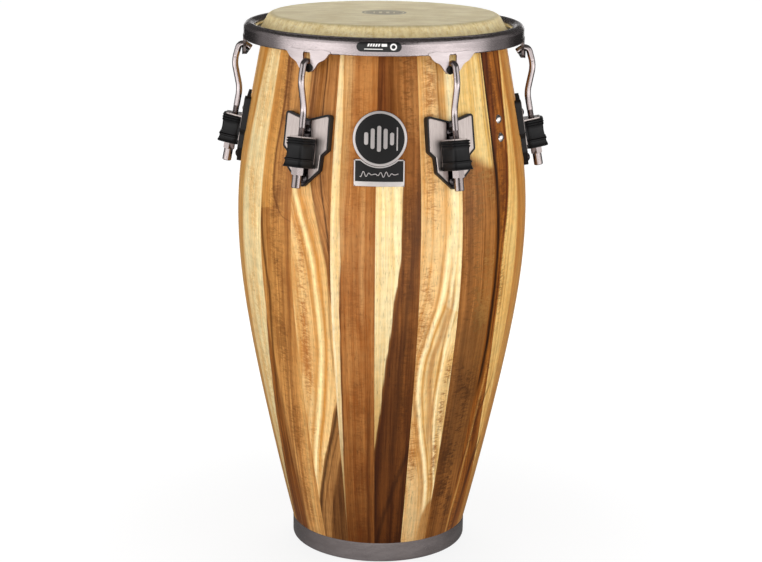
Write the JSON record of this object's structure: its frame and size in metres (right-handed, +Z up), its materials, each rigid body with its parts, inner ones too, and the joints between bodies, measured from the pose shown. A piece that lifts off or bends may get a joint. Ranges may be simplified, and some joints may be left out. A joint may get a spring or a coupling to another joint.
{
  "type": "conga drum",
  "caption": "Tall staved wooden conga drum with a hide head, a rolled steel counter-hoop, hooked tension rods on winged lugs, and a steel band round its open foot.",
  "frame": {"origin": "centre of the foot, on the floor", "axes": "+Z up the drum's axis to the head; -Y is the front, where the badge is; +X is the side with the two extra bolts"},
  "size_m": [0.4636, 0.4172, 0.762],
  "materials": {
    "wood_pale": "lacquered, semi-gloss",
    "wood_golden": "lacquered, semi-gloss",
    "wood_brown": "lacquered, semi-gloss",
    "wood_dark": "lacquered, semi-gloss",
    "band_metal": "dark nickel, brushed",
    "rim_metal": "dark nickel, brushed",
    "rod_metal": "dark nickel, polished",
    "lug_metal": "brushed",
    "bolt_metal": "polished",
    "zinc_metal": "plain zinc",
    "hoop_metal": "plain",
    "rubber": "matt",
    "liner_plastic": "matt",
    "hide": "natural hide, matt",
    "label": "printed black and white",
    "badge": "black with a bright metal edge"
  },
  "bodies": {
    "shell": {"stave_01": "wood_dark", "stave_02": "wood_golden", "stave_03": "wood_brown", "stave_04": "wood_dark", "stave_05": "wood_golden", "stave_06": "wood_brown", "stave_07": "wood_pale", "stave_08": "wood_golden", "stave_09": "wood_brown", "stave_10": "wood_pale", "stave_11": "wood_golden", "stave_12": "wood_dark", "stave_13": "wood_golden", "stave_14": "wood_brown", "stave_15": "wood_pale", "stave_16": "wood_golden", "stave_17": "wood_golden", "stave_18": "wood_pale", "stave_19": "wood_brown", "stave_20": "wood_golden", "stave_21": "wood_brown", "bottom_band": "band_metal", "foot_ring": "rubber", "drumhead": "hide", "lug_1": "lug_metal", "lug_2": "lug_metal", "lug_3": "lug_metal", "lug_4": "lug_metal", "lug_5": "lug_metal", "lug_6": "lug_metal", "sleeve_1": "rubber", "sleeve_2": "rubber", "sleeve_3": "rubber", "sleeve_4": "rubber", "sleeve_5": "rubber", "sleeve_6": "rubber", "lug_gaskets": "rubber", "lug_bolts": "bolt_metal", "side_bolts": "bolt_metal", "inner_washers": "zinc_metal", "inner_nuts": "zinc_metal", "badge": "badge", "name_plate": "badge"},
    "rim": {"rim": "rim_metal", "rim_tabs": "rim_metal", "slot_liners": "liner_plastic", "rim_label": "label", "flesh_hoop": "hoop_metal"},
    "rod_1": {"rod_1": "rod_metal"},
    "nut_1": {"nut_1": "rod_metal"},
    "rod_2": {"rod_2": "rod_metal"},
    "nut_2": {"nut_2": "rod_metal"},
    "rod_3": {"rod_3": "rod_metal"},
    "nut_3": {"nut_3": "rod_metal"},
    "rod_4": {"rod_4": "rod_metal"},
    "nut_4": {"nut_4": "rod_metal"},
    "rod_5": {"rod_5": "rod_metal"},
    "nut_5": {"nut_5": "rod_metal"},
    "rod_6": {"rod_6": "rod_metal"},
    "nut_6": {"nut_6": "rod_metal"}
  },
  "joints": [
    {"name": "rim_travel", "type": "slide", "parent": "shell", "child": "rim", "axis": [0, 0, -1], "range_m": [-0.00295, 0.00491], "deforming": ["drumhead"]},
    {"name": "rod_1_shift", "type": "slide", "parent": "rim", "child": "rod_1", "axis": [0.4772, -0.8788, 0], "range_m": [-0.00056, 0.00094]},
    {"name": "rod_2_shift", "type": "slide", "parent": "rim", "child": "rod_2", "axis": [1, 0, 0], "range_m": [-0.00056, 0.00094]},
    {"name": "rod_3_shift", "type": "slide", "parent": "rim", "child": "rod_3", "axis": [0.5, 0.866, 0], "range_m": [-0.00056, 0.00094]},
    {"name": "rod_4_shift", "type": "slide", "parent": "rim", "child": "rod_4", "axis": [-0.5, 0.866, 0], "range_m": [-0.00056, 0.00094]},
    {"name": "rod_5_shift", "type": "slide", "parent": "rim", "child": "rod_5", "axis": [-1, 0, 0], "range_m": [-0.00056, 0.00094]},
    {"name": "rod_6_shift", "type": "slide", "parent": "rim", "child": "rod_6", "axis": [-0.5, -0.866, 0], "range_m": [-0.00056, 0.00094]},
    {"name": "nut_1_turn", "type": "hinge", "parent": "shell", "child": "nut_1", "pos_m": [0.10037, -0.18486, 0.6], "axis": [-0.0894, 0.1647, 0.9823], "range_deg": [-864.7, 1440.9]},
    {"name": "nut_2_turn", "type": "hinge", "parent": "shell", "child": "nut_2", "pos_m": [0.21035, 0, 0.6], "axis": [-0.1874, 0, 0.9823], "range_deg": [-864.7, 1440.9]},
    {"name": "nut_3_turn", "type": "hinge", "parent": "shell", "child": "nut_3", "pos_m": [0.10518, 0.18217, 0.6], "axis": [-0.0937, -0.1623, 0.9823], "range_deg": [-864.7, 1440.9]},
    {"name": "nut_4_turn", "type": "hinge", "parent": "shell", "child": "nut_4", "pos_m": [-0.10518, 0.18217, 0.6], "axis": [0.0937, -0.1623, 0.9823], "range_deg": [-864.7, 1440.9]},
    {"name": "nut_5_turn", "type": "hinge", "parent": "shell", "child": "nut_5", "pos_m": [-0.21035, 0, 0.6], "axis": [0.1874, 0, 0.9823], "range_deg": [-864.7, 1440.9]},
    {"name": "nut_6_turn", "type": "hinge", "parent": "shell", "child": "nut_6", "pos_m": [-0.10518, -0.18217, 0.6], "axis": [0.0937, 0.1623, 0.9823], "range_deg": [-864.7, 1440.9]}
  ],
  "couplings": [
    {"joint": "rod_1_shift", "follows": "rim_travel", "ratio": 0.19076},
    {"joint": "rod_2_shift", "follows": "rim_travel", "ratio": 0.19076},
    {"joint": "rod_3_shift", "follows": "rim_travel", "ratio": 0.19076},
    {"joint": "rod_4_shift", "follows": "rim_travel", "ratio": 0.19076},
    {"joint": "rod_5_shift", "follows": "rim_travel", "ratio": 0.19076},
    {"joint": "rod_6_shift", "follows": "rim_travel", "ratio": 0.19076},
    {"joint": "nut_1_turn", "follows": "rim_travel", "rad_per_m": 5117.2},
    {"joint": "nut_2_turn", "follows": "rim_travel", "rad_per_m": 5117.2},
    {"joint": "nut_3_turn", "follows": "rim_travel", "rad_per_m": 5117.2},
    {"joint": "nut_4_turn", "follows": "rim_travel", "rad_per_m": 5117.2},
    {"joint": "nut_5_turn", "follows": "rim_travel", "rad_per_m": 5117.2},
    {"joint": "nut_6_turn", "follows": "rim_travel", "rad_per_m": 5117.2}
  ]
}
